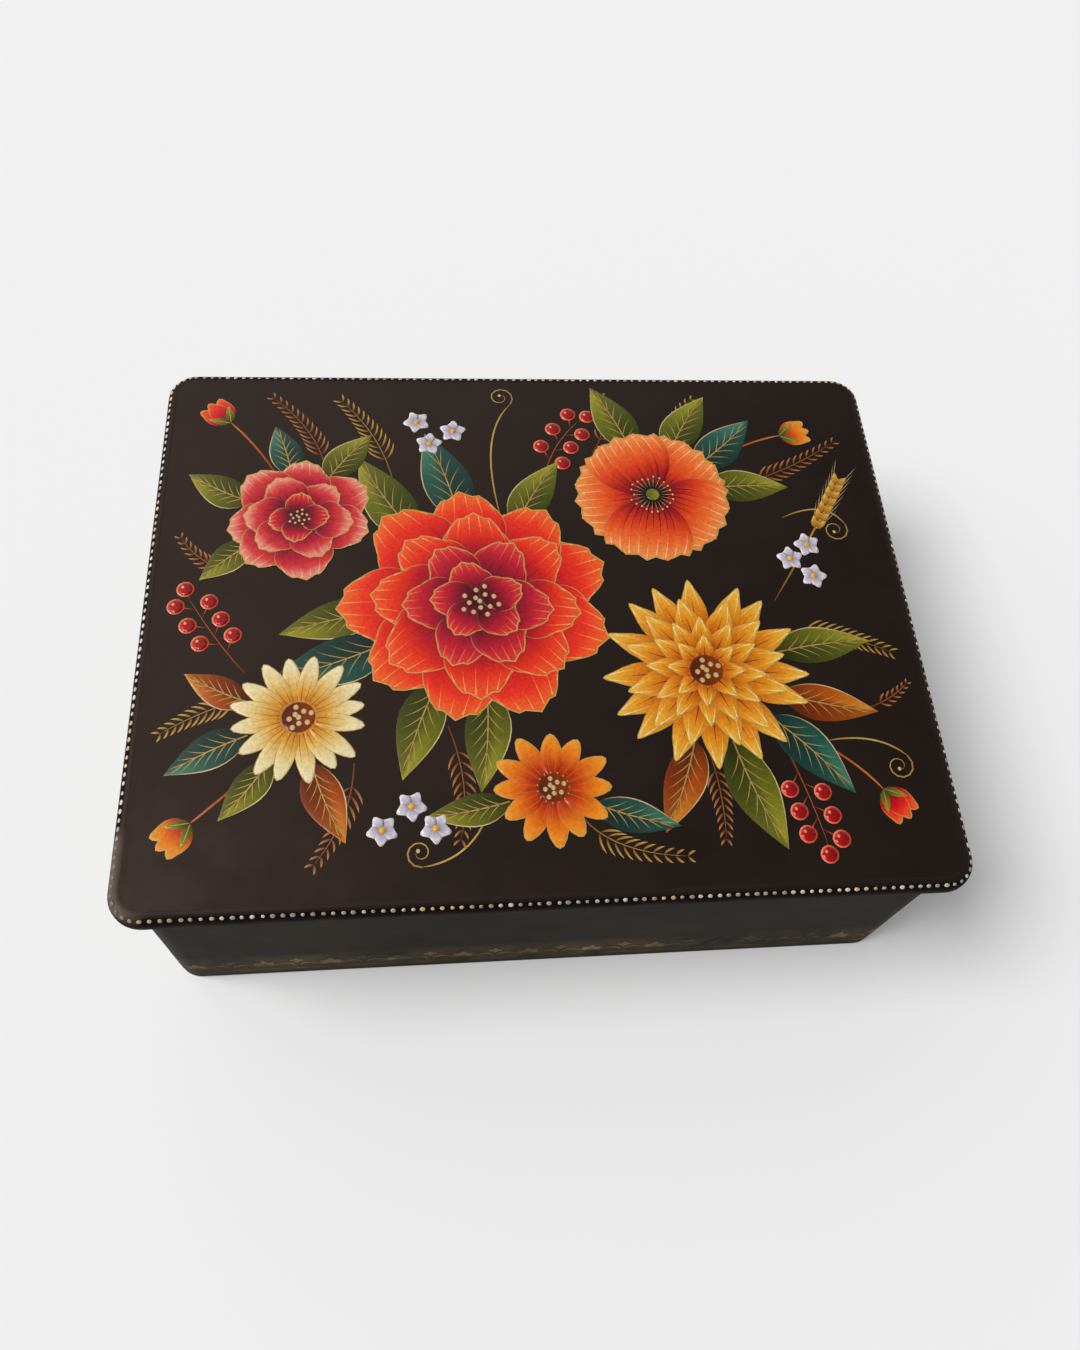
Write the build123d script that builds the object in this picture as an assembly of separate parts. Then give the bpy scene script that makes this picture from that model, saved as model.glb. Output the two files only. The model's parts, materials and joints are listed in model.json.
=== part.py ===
from build123d import *
import os
from math import acos, atan2, degrees, hypot, sqrt

# Papier-mache lacquer box: wound walls on a glued base plate, and a crowned, overhanging lid on two hinges.
# Millimetres, +Z up. The origin is on the table, under the middle of the box. The front faces -Y and the
# hinges are at the back. Each is a butt hinge of rolled brass: its leaves are let in flush, one into the
# top of the back wall and one into the underside of the lid, and its barrel lies under the lid's overhang.
# Brads hold the leaves. The open lid stops where its back overhang meets the back wall.

# Lid: a pressed plate, flat below and sanded to a slight crown above
lid_width = 180.0
lid_depth = 140.0
lid_corner_radius = 7.0
lid_edge = 4.6            # thickness at the edge
lid_crown = 0.9           # rise of the middle above the edge
lid_shoulder_radius = 2.5
lid_lip_radius = 0.8      # rounding of the lid's lower edge
overhang = 3.0            # how far the lid reaches past the walls

# Body: cardboard wound round a former, standing on a base plate of the same outline
former_corner_radius = 2.0
wall = 4.0
wall_height = 52.0
wall_edge_chamfer = 0.4   # easing of the walls' inner top edge
base_thickness = 4.0
base_edge_radius = 1.2

# Rim: the frame glued under the lid, which drops inside the walls
rim_thickness = 3.0
rim_height = 5.0
rim_clearance = 0.5
rim_inner_corner_radius = 1.0
rim_lead_chamfer = 0.8    # easing of the rim's lower outer edge

# Hinges
hinge_length = 28.0
hinge_inset = 33.5        # from the end of the back wall to the middle of the hinge
knuckle_count = 5
knuckle_radius = 1.2
knuckle_gap = 0.2
pin_radius = 0.6
pin_clearance = 0.04
pin_overlength = 0.2      # how far the pin stands out at each end of the barrel
barrel_offset = 0.6       # the axis lies this far behind the back wall
barrel_clearance = 0.3
leaf_thickness = 0.8
leaf_gap = 0.1            # between the two leaves of a closed hinge
leaf_land = 0.6           # wall left standing inside the leaf
mortise_clearance = 0.1

# Brads: headless brass pins, driven through the leaves and filed flush
brads_per_leaf = 2
brad_radius = 0.6
brad_clearance = 0.03
body_brad_length = 6.0
lid_brad_length = 2.6

# Worked out from the sizes above
body_width = lid_width - 2 * overhang
body_depth = lid_depth - 2 * overhang
body_corner_radius = former_corner_radius + wall
inner_width = body_width - 2 * wall
inner_depth = body_depth - 2 * wall
seat_z = base_thickness + wall_height          # top of the walls and underside of the lid
axis_y = body_depth / 2 + barrel_offset
leaf_depth = barrel_offset + wall - leaf_land  # from the axis to the leaf's far edge
groove_radius = knuckle_radius + barrel_clearance
brad_y = -(groove_radius + leaf_depth) / 2     # middle of the leaf's flat, from the axis
hinge_places = {"left": hinge_inset - body_width / 2, "right": body_width / 2 - hinge_inset}


def block(outline, low, high):
    """A flat outline drawn up from one height to another."""
    return Pos(0, 0, low) * extrude(outline, amount=high - low)


def bar(radius, start, end):
    """A round bar along X, on the hinge axis, from one place to another."""
    return Pos((start + end) / 2, 0, 0) * Rot(0, 90, 0) * Cylinder(radius, end - start)


def at_hinge(place, shape):
    """Moves a shape from the hinge's own origin, the middle of its barrel, to its place on the box."""
    return Pos(place, axis_y, seat_z) * shape


def side_of(owner):
    """-1 for the body's leaf, which lies below the hinge axis, and 1 for the lid's, above it."""
    return -1 if owner == "body" else 1


def knuckle_spans(owner):
    """Where the knuckles of one leaf start and end along the barrel. The body's leaf has the outer ones."""
    pitch = hinge_length / knuckle_count
    first = 0 if owner == "body" else 1
    starts = [i * pitch - hinge_length / 2 for i in range(first, knuckle_count, 2)]
    return [(start, start + pitch) for start in starts]


def brads_of(owner, extra=0.0):
    """The brads of one leaf, evenly spaced along it. extra makes the holes that take them."""
    length = body_brad_length if owner == "body" else lid_brad_length
    middle = side_of(owner) * (leaf_gap + length + extra) / 2
    pitch = hinge_length / brads_per_leaf
    places = [(i + 0.5) * pitch - hinge_length / 2 for i in range(brads_per_leaf)]
    return [Pos(x, brad_y, middle) * Cylinder(brad_radius + extra, length + extra) for x in places]


def leaf_plate(owner):
    """The flat of a leaf, from the axis forward, half the gap away from the seat."""
    middle = side_of(owner) * (leaf_gap + leaf_thickness) / 2
    return Pos(0, -leaf_depth / 2, middle) * Box(hinge_length, leaf_depth, leaf_thickness)


def mortise(owner):
    """The shallow recess, open at the seat, that takes the flat of a leaf."""
    depth = leaf_gap / 2 + leaf_thickness
    reach = leaf_depth + mortise_clearance
    recess = Box(hinge_length + 2 * mortise_clearance, reach, depth)
    return Pos(0, -reach / 2, side_of(owner) * depth / 2) * recess


def hinge_leaf(owner):
    """A leaf with its knuckles: bored for the pin and cut back round the other leaf's knuckles."""
    other = "lid" if owner == "body" else "body"
    leaf = leaf_plate(owner)
    for start, end in knuckle_spans(other):
        leaf -= bar(groove_radius, start - knuckle_gap / 2, end + knuckle_gap / 2)
    for start, end in knuckle_spans(owner):
        leaf += bar(knuckle_radius, start + knuckle_gap / 2, end - knuckle_gap / 2)
    leaf -= bar(pin_radius + pin_clearance, -hinge_length, hinge_length)
    for hole in brads_of(owner, brad_clearance):
        leaf -= hole
    return leaf


def hinge_pin():
    """The wire that both leaves turn on, standing out a little at each end."""
    half = hinge_length / 2 + pin_overlength
    return bar(pin_radius, -half, half)


def let_in(shape, owner):
    """Cuts what the hinges need out of the walls or the lid: barrel grooves, leaf mortises and brad holes."""
    groove_half = hinge_length / 2 + pin_overlength + barrel_clearance
    for place in hinge_places.values():
        shape -= at_hinge(place, bar(groove_radius, -groove_half, groove_half))
        shape -= at_hinge(place, mortise(owner))
        for hole in brads_of(owner, brad_clearance):
            shape -= at_hinge(place, hole)
    return shape


def body_walls():
    """The four walls, one wound piece with rounded corners, cut for the hinges."""
    outside = RectangleRounded(body_width, body_depth, body_corner_radius)
    inside = RectangleRounded(inner_width, inner_depth, former_corner_radius)
    walls = block(outside - inside, base_thickness, seat_z)
    top = walls.faces().sort_by(Axis.Z)[-1]
    walls = chamfer(top.inner_wires()[0].edges(), wall_edge_chamfer)
    return let_in(walls, "body")


def base_plate():
    """The plate that the walls are glued to, its lower edge rounded."""
    outline = RectangleRounded(body_width, body_depth, body_corner_radius)
    plate = block(outline, 0, base_thickness)
    return fillet(plate.faces().sort_by(Axis.Z)[0].edges(), base_edge_radius)


def crown():
    """The swell of the lid's top: one smooth patch, highest in the middle, with its corners on the flat."""
    inset = lid_corner_radius - (lid_corner_radius - lid_shoulder_radius) / sqrt(2)
    half_width = lid_width / 2 - inset
    half_depth = lid_depth / 2 - inset
    pull = 4 * lid_crown  # the middle control point lifts the patch by a quarter of its own height
    rows = [
        [(x, y, pull if x == 0 and y == 0 else 0) for y in (-half_depth, 0, half_depth)]
        for x in (-half_width, 0, half_width)
    ]
    patch = Pos(0, 0, seat_z + lid_edge) * Face.make_bezier_surface(rows)
    return extrude(patch, amount=lid_edge / 2, dir=(0, 0, -1))


def lid_plate():
    """The lid: a rounded plate with a soft shoulder and lip and a crowned top, cut for the hinges."""
    outline = RectangleRounded(lid_width, lid_depth, lid_corner_radius)
    plate = block(outline, seat_z, seat_z + lid_edge)
    plate = fillet(plate.faces().sort_by(Axis.Z)[-1].edges(), lid_shoulder_radius)
    plate = fillet(plate.faces().sort_by(Axis.Z)[0].edges(), lid_lip_radius)
    return let_in(plate + crown(), "lid")


def lid_rim():
    """The frame under the lid that keeps it in place, with an eased lower edge that leads it in."""
    outer_width = inner_width - 2 * rim_clearance
    outer_depth = inner_depth - 2 * rim_clearance
    hollow_width = outer_width - 2 * rim_thickness
    hollow_depth = outer_depth - 2 * rim_thickness
    outside = RectangleRounded(outer_width, outer_depth, former_corner_radius - rim_clearance)
    inside = RectangleRounded(hollow_width, hollow_depth, rim_inner_corner_radius)
    frame = block(outside - inside, seat_z - rim_height, seat_z)
    foot = frame.faces().sort_by(Axis.Z)[0]
    return chamfer(foot.outer_wire().edges(), rim_lead_chamfer)


def stop_angle():
    """How far the lid opens, in degrees, before its rounded back lip meets the back wall."""
    lip_y = overhang - barrel_offset - lid_lip_radius
    reach = hypot(lip_y, lid_lip_radius)
    return degrees(atan2(lid_lip_radius, lip_y) + acos((lid_lip_radius - barrel_offset) / reach))


nodes = {
    "body_walls": body_walls(),
    "base_plate": base_plate(),
    "lid_plate": lid_plate(),
    "lid_rim": lid_rim(),
}
for name, place in hinge_places.items():
    nodes[f"hinge_{name}_body_leaf"] = at_hinge(place, hinge_leaf("body"))
    nodes[f"hinge_{name}_lid_leaf"] = at_hinge(place, hinge_leaf("lid"))
    nodes[f"hinge_{name}_pin"] = at_hinge(place, hinge_pin())
for owner in ("body", "lid"):
    driven = [at_hinge(place, brad) for place in hinge_places.values() for brad in brads_of(owner)]
    nodes[f"{owner}_leaf_brads"] = Compound([solid for brad in driven for solid in brad.solids()])

os.makedirs("parts", exist_ok=True)
for name, shape in nodes.items():
    export_step(shape, f"parts/{name}.step")

print(f"seat at z {seat_z:g}, hinge axis at y {axis_y:g}, the lid stops at {stop_angle():.1f} degrees")
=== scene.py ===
import json
from math import atan2, ceil, cos, degrees, pi, radians, sin, sqrt
from random import Random

import bmesh
import bpy
from mathutils import Matrix, Quaternion, Vector


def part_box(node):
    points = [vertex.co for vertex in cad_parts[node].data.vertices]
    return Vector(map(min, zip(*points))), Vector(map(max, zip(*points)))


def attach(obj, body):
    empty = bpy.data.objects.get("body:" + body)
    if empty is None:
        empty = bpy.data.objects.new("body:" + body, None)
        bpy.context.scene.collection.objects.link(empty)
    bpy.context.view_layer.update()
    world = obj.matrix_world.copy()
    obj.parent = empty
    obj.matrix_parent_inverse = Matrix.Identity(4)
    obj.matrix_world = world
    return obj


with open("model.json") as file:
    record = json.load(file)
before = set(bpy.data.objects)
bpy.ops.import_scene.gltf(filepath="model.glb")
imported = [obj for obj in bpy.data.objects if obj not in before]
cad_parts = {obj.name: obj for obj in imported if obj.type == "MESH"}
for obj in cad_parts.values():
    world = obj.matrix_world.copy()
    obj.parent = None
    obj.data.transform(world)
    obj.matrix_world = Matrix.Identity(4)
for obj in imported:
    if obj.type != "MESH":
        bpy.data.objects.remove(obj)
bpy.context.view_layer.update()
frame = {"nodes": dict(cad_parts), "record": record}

# A papier-mache lacquer box. The lid, walls, base, rim and hinges are the CAD nodes with their finishes. This
# script adds the paint: a bouquet on the lid, a dotted border along the lid's edge, a worn gold border low on
# the walls, and red lacquer inside. Lengths are in millimetres until they reach a mesh, and flat places on
# the lid are seen from above.
MM = 0.001

# Forms of the lid, the walls and the rim, as the CAD has them
LID_CORNER_RADIUS = 7.0
LID_EDGE = 4.6
LID_CROWN = 0.9
LID_SHOULDER_RADIUS = 2.5
LID_LIP_RADIUS = 0.8
WALL_CORNER_RADIUS = 6.0
WALL = 4.0
WALL_EASING = 0.4       # of the walls' inner top edge
INNER_CORNER_RADIUS = 2.0
RIM = 3.0
RIM_CORNER_RADIUS = 1.0

lid_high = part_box("lid_plate")[1] / MM
walls_low, walls_high = (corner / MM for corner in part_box("body_walls"))
rim_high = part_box("lid_rim")[1] / MM
seat = walls_high.z
edge_top = seat + LID_EDGE
crown_inset = LID_CORNER_RADIUS - (LID_CORNER_RADIUS - LID_SHOULDER_RADIUS) / sqrt(2)

# Ways up the lid's edge from the lip's lowest line
LIP_TOP = LID_LIP_RADIUS * pi / 2
FACE_TOP = LIP_TOP + LID_EDGE - LID_LIP_RADIUS - LID_SHOULDER_RADIUS
SHOULDER_TOP = FACE_TOP + LID_SHOULDER_RADIUS * pi / 2

# Heights of the paint over the lacquer. Real tempera is thinner: this clears the flat facets of the lid.
SPRIG_HEIGHT = 0.06
LEAF_HEIGHT = 0.07
BLOOM_HEIGHT = 0.15
BLOOM_STEP = 0.01       # from one flower to the next that may lie over it
STEP = 0.003            # from one leaf or petal to the next that may lie over it
LINE_LIFT = 0.0015      # of a fine line over the colour that it is drawn on
PAINT_FOOT = -0.03      # down to which the edges of leaves and blooms reach, so that nothing shows under them
BORDER_HEIGHT = 0.06
WALL_HEIGHT = 0.05
MOTIF_LIFT = 0.03       # of the motifs on the walls over the film of gold there
RED_HEIGHT = 0.05
RED_COVE = 1.0          # radius to which the red lacquer gathers where the walls meet the floor
EASED = 0.8             # way below a band's upper edge in which its paint thins out
THINNEST = 0.1          # share of its height that the paint keeps at that edge

# The bouquet
SMALL_SIZE = 3.4        # of a small flower
BUD_SIZE = 8
BERRIES_EACH = 7        # on each stem
BERRY_RADIUS = 1.8
GOLDEN_ANGLE = 137.5    # degrees, from one dot in a flower's heart to the next

# The dotted border on the lid's edge
DOT_PITCH = 1.97
DOT_RADIUS = 0.47
DOT_RISE = 0.15         # how far a dab stands up
DOT_STRAY = 0.06        # share of the pitch by which a dab may be out of its place
DOT_SIZES = (0.86, 1.12)    # least and greatest share of the radius
DOT_STRETCH = (1.0, 1.25)   # least and greatest length of a dab, as a share of its size
DOT_NARROW = 0.9            # and its breadth
GILT_RUN = (3, 7)       # how many dabs in a row are gold, and how many cream
CREAM_RUN = (12, 30)
FIRST_RUN = 4           # of gold ones, at the front left corner
LEFT_CLIMB = 0.3        # how much higher up the row lies on the left, at the back and on the right
BACK_CLIMB = 1.05
RIGHT_CLIMB = 0.2
LEFT_SIZE = 0.2         # how much larger the dabs are along the left
# The dabs along the left are paler: painted light from the lamp on the left
LEFT_PAINTED_LIGHT = 0.8        # how far those keep to the paler colours
DARK_MARGIN = 0.5       # of the dark ground past the middle of the dabs
BAND_FOOT = 0.2 * LIP_TOP   # way up the edge at which the dark ground starts
BAND_STRIPS = 16        # the border's ground, in as many strips as its map has squares

# The stretch of the lid's edge that hands have rubbed most, turned grey: bare wear, and a painted sheen on
# the shoulder there
RUBBED_SHEEN_SPOT = (-lid_high.x, 9.0 - lid_high.y, edge_top - 0.85)
RUBBED_SHEEN_REACH = (7.5, 11.5)    # round that, where the rubbing starts to fade and where it ends
RUBBED_SHEEN_RISE = (0.5, 1.0)      # the same, up and down the edge

# The border on the walls, with heights over the table
FILM_LOW, FILM_HIGH = 3.2, 20.0
FAN_PITCH = 15.6        # before it is fitted to the way round
FAN_FOOT = 9.2
FAN_BLADES = [(14, 3.2), (166, 3.2), (50, 4.0), (130, 4.0), (90, 5.0)]    # direction and length of each
BLADE_WIDTH = 1.9
CURL = [(1.2, -1.4), (4.6, 2.8), (7.4, 1.4), (7.0, -1.4)]   # away from the fan's foot on both sides, and up
DAB_RISE = 3.6          # of the four-petal dabs over the fans' feet
DAB_LENGTH, DAB_WIDTH = 2.0, 1.2
LINE_UNDER = 5.4        # the line that runs under the fans
RUBBED_RIGHT = (-10.0, 15.0)    # places along X between which the gold gets thinner towards the right
RUBBED_MORE = 0.08      # how much of it goes there

# The studio
LAMP_FROM = Vector((-0.56, -0.03, 0.83))
LAMP_ANGLE = 28.0       # degrees across, as large as it looks from the box
LAMP_LEVEL = 0.72       # share of the light that comes from the lamp, and the rest from the room
ROOM_LIGHT_FROM = (-0.83, 0.56, 0.0)
ROOM_LEVELS = (0.07, 1.1)       # on the room's dark and light sides
SKYLINE = (0.3, 0.5)    # rises of the view between which the room stops looking as pale as the floor
FLOOR_HALF = 3.0        # metres
FLOOR_GLOW = 0.24       # share of the floor that stays pale in the shadow

# The photograph's camera, from a pinhole fitted to the outlines of the lid and the body
EYE = Vector((-26.18, -133.09, 293.21))
AIM = Vector((5.1, 1.0, 60.0))
ROLL = 10.467           # degrees
LONG_SIDE = 36.0        # of the sensor
FOCAL = 30.832
SHIFT = (-0.0157, -0.0531)

# One over the length, breadth and depth of the marks left by the brush, the rolls and the drawing die
RED_STREAKS = (0.04, 0.7, 0.7)
ROLLED_GRAIN = (0.15, 4.0, 4.0)
DRAWN_LINES = (0.1, 6.0, 6.0)

MAP_MARGIN = 0.15       # share of a stroke's square in the map for baking that stays bare on each side
WELD = 0.0002           # points of the paint that are closer than this are one

WALL_BLACK, WALL_CLOUD, WALL_MIDDLE = "#221f16", "#2e291e", "#28241a"
WALL_GLOSS = 0.012      # the walls are dull, and the lid is polished
LID_GLOSS = 0.5

chance = Random(11)


def colour(code):
    """sRGB hex to linear RGBA."""
    shares = [int(code[i:i + 2], 16) / 255 for i in (1, 3, 5)]
    linear = [c / 12.92 if c <= 0.04045 else ((c + 0.055) / 1.055) ** 2.4 for c in shares]
    return (*linear, 1.0)


def run_of(*codes):
    """A run of colours from hex codes."""
    return [colour(code) for code in codes]


def add(tree, kind, inputs=None, **settings):
    """Adds a node with its settings. Each input is a plain value, or a node or output to link from."""
    node = tree.nodes.new("ShaderNode" + kind)
    for name, value in settings.items():
        setattr(node, name, value)
    for key, value in (inputs or {}).items():
        if isinstance(value, bpy.types.Node):
            value = next(output for output in value.outputs if output.enabled)
        if isinstance(value, bpy.types.NodeSocket):
            tree.links.new(value, node.inputs[key])
        else:
            node.inputs[key].default_value = value
    return node


# Inputs of a Mix node set to colours
SHARE, FIRST, SECOND = 0, 6, 7

VARNISH_BROWN = colour("#ffdccc")   # the tint that old varnish gives its reflections
# The grey of that rubbed stretch: partly bare wear, partly a painted sheen
RUBBED_SHEEN_GREY = colour("#64574f")
PALE = colour("#f0f0f0")


def new_material(name):
    """An empty material, with the place on the object in millimetres for its patterns."""
    material = bpy.data.materials.new(name)
    material.use_nodes = True
    tree = material.node_tree
    tree.nodes.clear()
    spot = add(tree, "TexCoord").outputs["Object"]
    return material, tree, add(tree, "VectorMath", {0: spot, "Scale": 1 / MM}, operation="SCALE")


def new_paint(name):
    """The same for brushwork, with the colour that each of its strokes has."""
    material, tree, place = new_material(name)
    return material, tree, place, add(tree, "VertexColor", layer_name="paint").outputs["Color"]


def surfaced(material, inputs):
    """Ends a material with its surface."""
    tree = material.node_tree
    add(tree, "OutputMaterial", {"Surface": add(tree, "BsdfPrincipled", inputs)})
    return material


def maths(tree, operation, *values):
    """A sum, with plain values, nodes or outputs."""
    return add(tree, "Math", dict(enumerate(values)), operation=operation)


def noise(tree, place, width, detail, roughness=0.5):
    """A pattern with marks of a width in millimetres."""
    return add(tree, "TexNoise", {
        "Vector": place, "Scale": 1 / width, "Detail": detail, "Roughness": roughness})


def drawn_noise(tree, place, marks, detail):
    """A pattern with long marks, given by one over their length, breadth and depth."""
    return noise(tree, add(tree, "VectorMath", {0: place, 1: marks}, operation="MULTIPLY"), 1.0, detail)


def ramp(tree, value, fade, to=(0.0, 1.0)):
    """A number that runs from the first to the second value of to, as another passes through fade."""
    return add(tree, "MapRange", {
        "Value": value, "From Min": fade[0], "From Max": fade[1], "To Min": to[0], "To Max": to[1]})


def patches(tree, place, width, detail, fade=(0.0, 1.0), to=(0.0, 1.0)):
    """The same on a noise: a number that drifts from patch to patch."""
    return ramp(tree, noise(tree, place, width, detail), fade, to)


def mixed(tree, share, first, second, **settings):
    """Two colours mixed, with a share of the second."""
    return add(tree, "Mix", {SHARE: share, FIRST: first, SECOND: second}, data_type="RGBA", **settings)


def clouded(tree, place, black, cloud):
    """Black lacquer's own colour, with paler clouds a few centimetres wide where age has got into it."""
    return mixed(tree, patches(tree, place, 34, 3.0, fade=(0.3, 0.7)), colour(black), colour(cloud))


def black_lacquer(name, black, cloud, rubbed, gloss):
    """Lacquer on pressed card, rubbed down coat by coat: a deep warm black whose soft mirror rolls a little
    with the card under it, faintly clouded by age. rubbed is its least and greatest roughness, and gloss the
    strength of its mirror, which old varnish turns brown."""
    material, tree, place = new_material(name)
    return surfaced(material, {
        "Base Color": clouded(tree, place, black, cloud),
        "Roughness": patches(tree, place, 8, 5.0, to=rubbed),
        "Normal": add(tree, "Bump", {"Height": noise(tree, place, 9, 1.0), "Distance": 0.02 * MM}),
        "Specular IOR Level": gloss, "Specular Tint": VARNISH_BROWN})


def red_lacquer():
    """Vermilion lacquer, brushed on inside the box: an even deep red under a clear gloss, with faint streaks
    where the brush was drawn along."""
    material, tree, place = new_material("vermilion_lacquer")
    streaks = drawn_noise(tree, place, RED_STREAKS, 3.0)
    return surfaced(material, {
        "Base Color": mixed(tree, noise(tree, place, 26, 3.0), *run_of("#86170f", "#a5281b")),
        "Roughness": ramp(tree, streaks, (0.0, 1.0), (0.16, 0.36)),
        "Normal": add(tree, "Bump", {"Height": streaks, "Distance": 0.01 * MM}),
        "Specular IOR Level": 0.22, "Specular Tint": VARNISH_BROWN})


def worn(tree, place, base, least):
    """A colour of the lid's edge, turned grey along the shoulder at its front left corner: rubbed bare there,
    and with a painted sheen. least is the share of the grey where the rubbing is patchy."""
    reach = add(tree, "VectorMath", {0: place, 1: RUBBED_SHEEN_SPOT}, operation="DISTANCE").outputs["Value"]
    near = ramp(tree, reach, RUBBED_SHEEN_REACH, (1.0, 0.0))
    up = add(tree, "SeparateXYZ", {0: place}).outputs[2]
    off = maths(tree, "ABSOLUTE", maths(tree, "SUBTRACT", up, RUBBED_SHEEN_SPOT[2]))
    along_shoulder = ramp(tree, off, RUBBED_SHEEN_RISE, (1.0, 0.0))
    bare = patches(tree, place, 3, 4.0, fade=(0.3, 0.55), to=(least, 1.0))
    share = maths(tree, "MULTIPLY", maths(tree, "MULTIPLY", near, along_shoulder), bare)
    return mixed(tree, share, base, RUBBED_SHEEN_GREY)


def dulled_lacquer():
    """The lid's lacquer on its shoulder, dulled by hands: a wide soft sheen in place of the mirror."""
    material, tree, place, paint = new_paint("hand_dulled_lacquer")
    return surfaced(material, {
        # The base colour turns grey at the front left corner: rubbed wear and a painted sheen
        "Base Color": worn(tree, place, paint, 0.4),
        "Roughness": patches(tree, place, 7, 5.0, to=(0.38, 0.62)),
        "Specular IOR Level": 0.25, "Specular Tint": VARNISH_BROWN})


def border_paint():
    """The dark ground of the dotted border: matt black rubbed through to the red-brown coat under it."""
    material, tree, place, under = new_paint("matt_black_border")
    bare = patches(tree, place, 6, 4.0, fade=(0.5, 0.72))
    # At the front left corner the ground turns grey: rubbed wear and a painted sheen
    base = worn(tree, place, mixed(tree, bare, colour("#100b09"), under), 0.5)
    return surfaced(material, {"Base Color": base, "Roughness": 0.6, "Specular IOR Level": 0.04})


def dab_paint():
    """The border's dabs, pale gold and cream, handled for years: dull where they are rubbed."""
    material, tree, place, paint = new_paint("pale_gold_dabs")
    dull = patches(tree, place, 1.5, 1.0, fade=(0.5, 0.75))
    # At the front left corner the dabs turn almost all grey: rubbed wear and a painted sheen
    base = worn(tree, place, mixed(tree, dull, paint, colour("#8a7058")), 0.94)
    return surfaced(material, {"Base Color": base, "Roughness": 0.45, "Metallic": 0.1})


def tempera():
    """Egg tempera under clear lacquer: strong colour, uneven where the brush hairs ran, with the lid's own
    gloss."""
    material, tree, place, paint = new_paint("tempera_under_lacquer")
    thin = add(tree, "HueSaturation", {"Color": paint, "Value": 0.62, "Saturation": 1.08})
    thick = add(tree, "HueSaturation", {"Color": paint, "Value": 1.16})
    return surfaced(material, {
        "Base Color": mixed(tree, noise(tree, place, 0.8, 3.0), thin, thick), "Roughness": 0.27,
        "Specular IOR Level": LID_GLOSS, "Specular Tint": VARNISH_BROWN})


def gold_paint():
    """Powdered gold in gum, laid with a fine brush: warm, a little grainy, dull where it lies thin."""
    material, tree, place, paint = new_paint("brushed_gold_paint")
    thin = add(tree, "HueSaturation", {"Color": paint, "Value": 0.5})
    base = mixed(tree, noise(tree, place, 0.6, 2.0), thin, paint)
    return surfaced(material, {"Base Color": base, "Roughness": 0.42, "Metallic": 0.2})


def worn_gold():
    """The border on the walls: gold rubbed thin by hands, in places down to the lacquer, and more on the
    right. It has turned rusty here and greenish there."""
    material, tree, place, paint = new_paint("worn_gold_paint")
    turned = patches(tree, place, 16, 2.0, fade=(0.38, 0.62))
    tint = mixed(tree, turned, *run_of("#ffe2d2", "#eef2da"))
    paint = mixed(tree, 1.0, paint, tint, blend_type="MULTIPLY")
    side = add(tree, "SeparateXYZ", {0: place}).outputs[0]
    held = ramp(tree, side, RUBBED_RIGHT, (0.0, -RUBBED_MORE))
    rub = maths(tree, "ADD", noise(tree, place, 24, 6.0, 0.75), held)
    bare = clouded(tree, place, WALL_BLACK, WALL_CLOUD)
    base = mixed(tree, ramp(tree, rub, (0.36, 0.72)), bare, paint)
    return surfaced(material, {"Base Color": base, "Roughness": 0.45, "Specular IOR Level": WALL_GLOSS})


def aged_brass():
    """Rolled sheet brass, darkened by age, with the long fine grain of the rolls."""
    material, tree, place = new_material("aged_rolled_brass")
    base = mixed(tree, noise(tree, place, 3, 4.0), *run_of("#7a5c2a", "#c09a54"))
    grain = drawn_noise(tree, place, ROLLED_GRAIN, 2.0)
    relief = add(tree, "Bump", {"Height": grain, "Distance": 0.01 * MM})
    return surfaced(material, {"Base Color": base, "Metallic": 1.0, "Roughness": 0.34, "Normal": relief})


def drawn_steel():
    """Drawn steel wire: grey, with fine lines along its length."""
    material, tree, place = new_material("drawn_steel_wire")
    base = mixed(tree, drawn_noise(tree, place, DRAWN_LINES, 2.0), *run_of("#6c6a66", "#b0ada8"))
    return surfaced(material, {"Base Color": base, "Metallic": 1.0, "Roughness": 0.3})


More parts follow.
